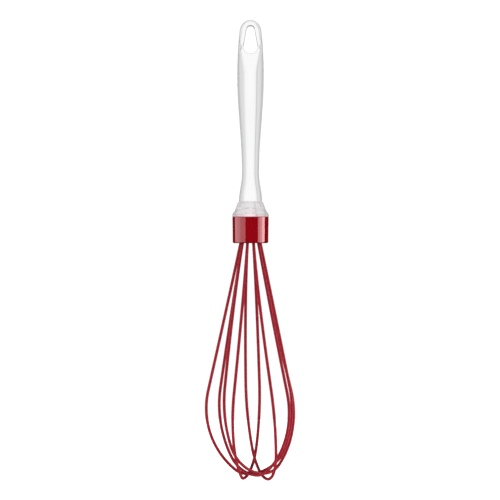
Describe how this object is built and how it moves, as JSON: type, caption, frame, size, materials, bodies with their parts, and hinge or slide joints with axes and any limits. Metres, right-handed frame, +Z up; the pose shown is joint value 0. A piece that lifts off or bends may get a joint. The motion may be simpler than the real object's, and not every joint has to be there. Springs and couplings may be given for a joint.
{
  "type": "balloon whisk",
  "caption": "Balloon whisk for beating and whipping: a clear handle with a hang hole, a glossy collar, and looped springy wires coated in silicone.",
  "frame": {"origin": "centre of the hang hole's upper arc, midway between the handle's front and back faces", "axes": "+Z up along the handle, away from the wires; +Y straight through the hang hole; +X across the handle's flat face"},
  "size_m": [0.0593, 0.0573, 0.2999],
  "materials": {
    "clear_acrylic": "clear, polished",
    "red_gloss_plastic": "high gloss",
    "red_plastic": "satin",
    "epoxy_resin": "cast",
    "spring_steel": "drawn wire",
    "red_silicone": "satin silicone"
  },
  "bodies": {
    "root": {"handle": "clear_acrylic", "collar": "red_gloss_plastic", "wire_holder": "red_plastic", "potting_resin": "epoxy_resin", "wire_core_1": "spring_steel", "wire_core_2": "spring_steel", "wire_core_3": "spring_steel", "wire_core_4": "spring_steel", "wire_core_5": "spring_steel", "wire_sleeve_1": "red_silicone", "wire_sleeve_2": "red_silicone", "wire_sleeve_3": "red_silicone", "wire_sleeve_4": "red_silicone", "wire_sleeve_5": "red_silicone"}
  },
  "joints": []
}
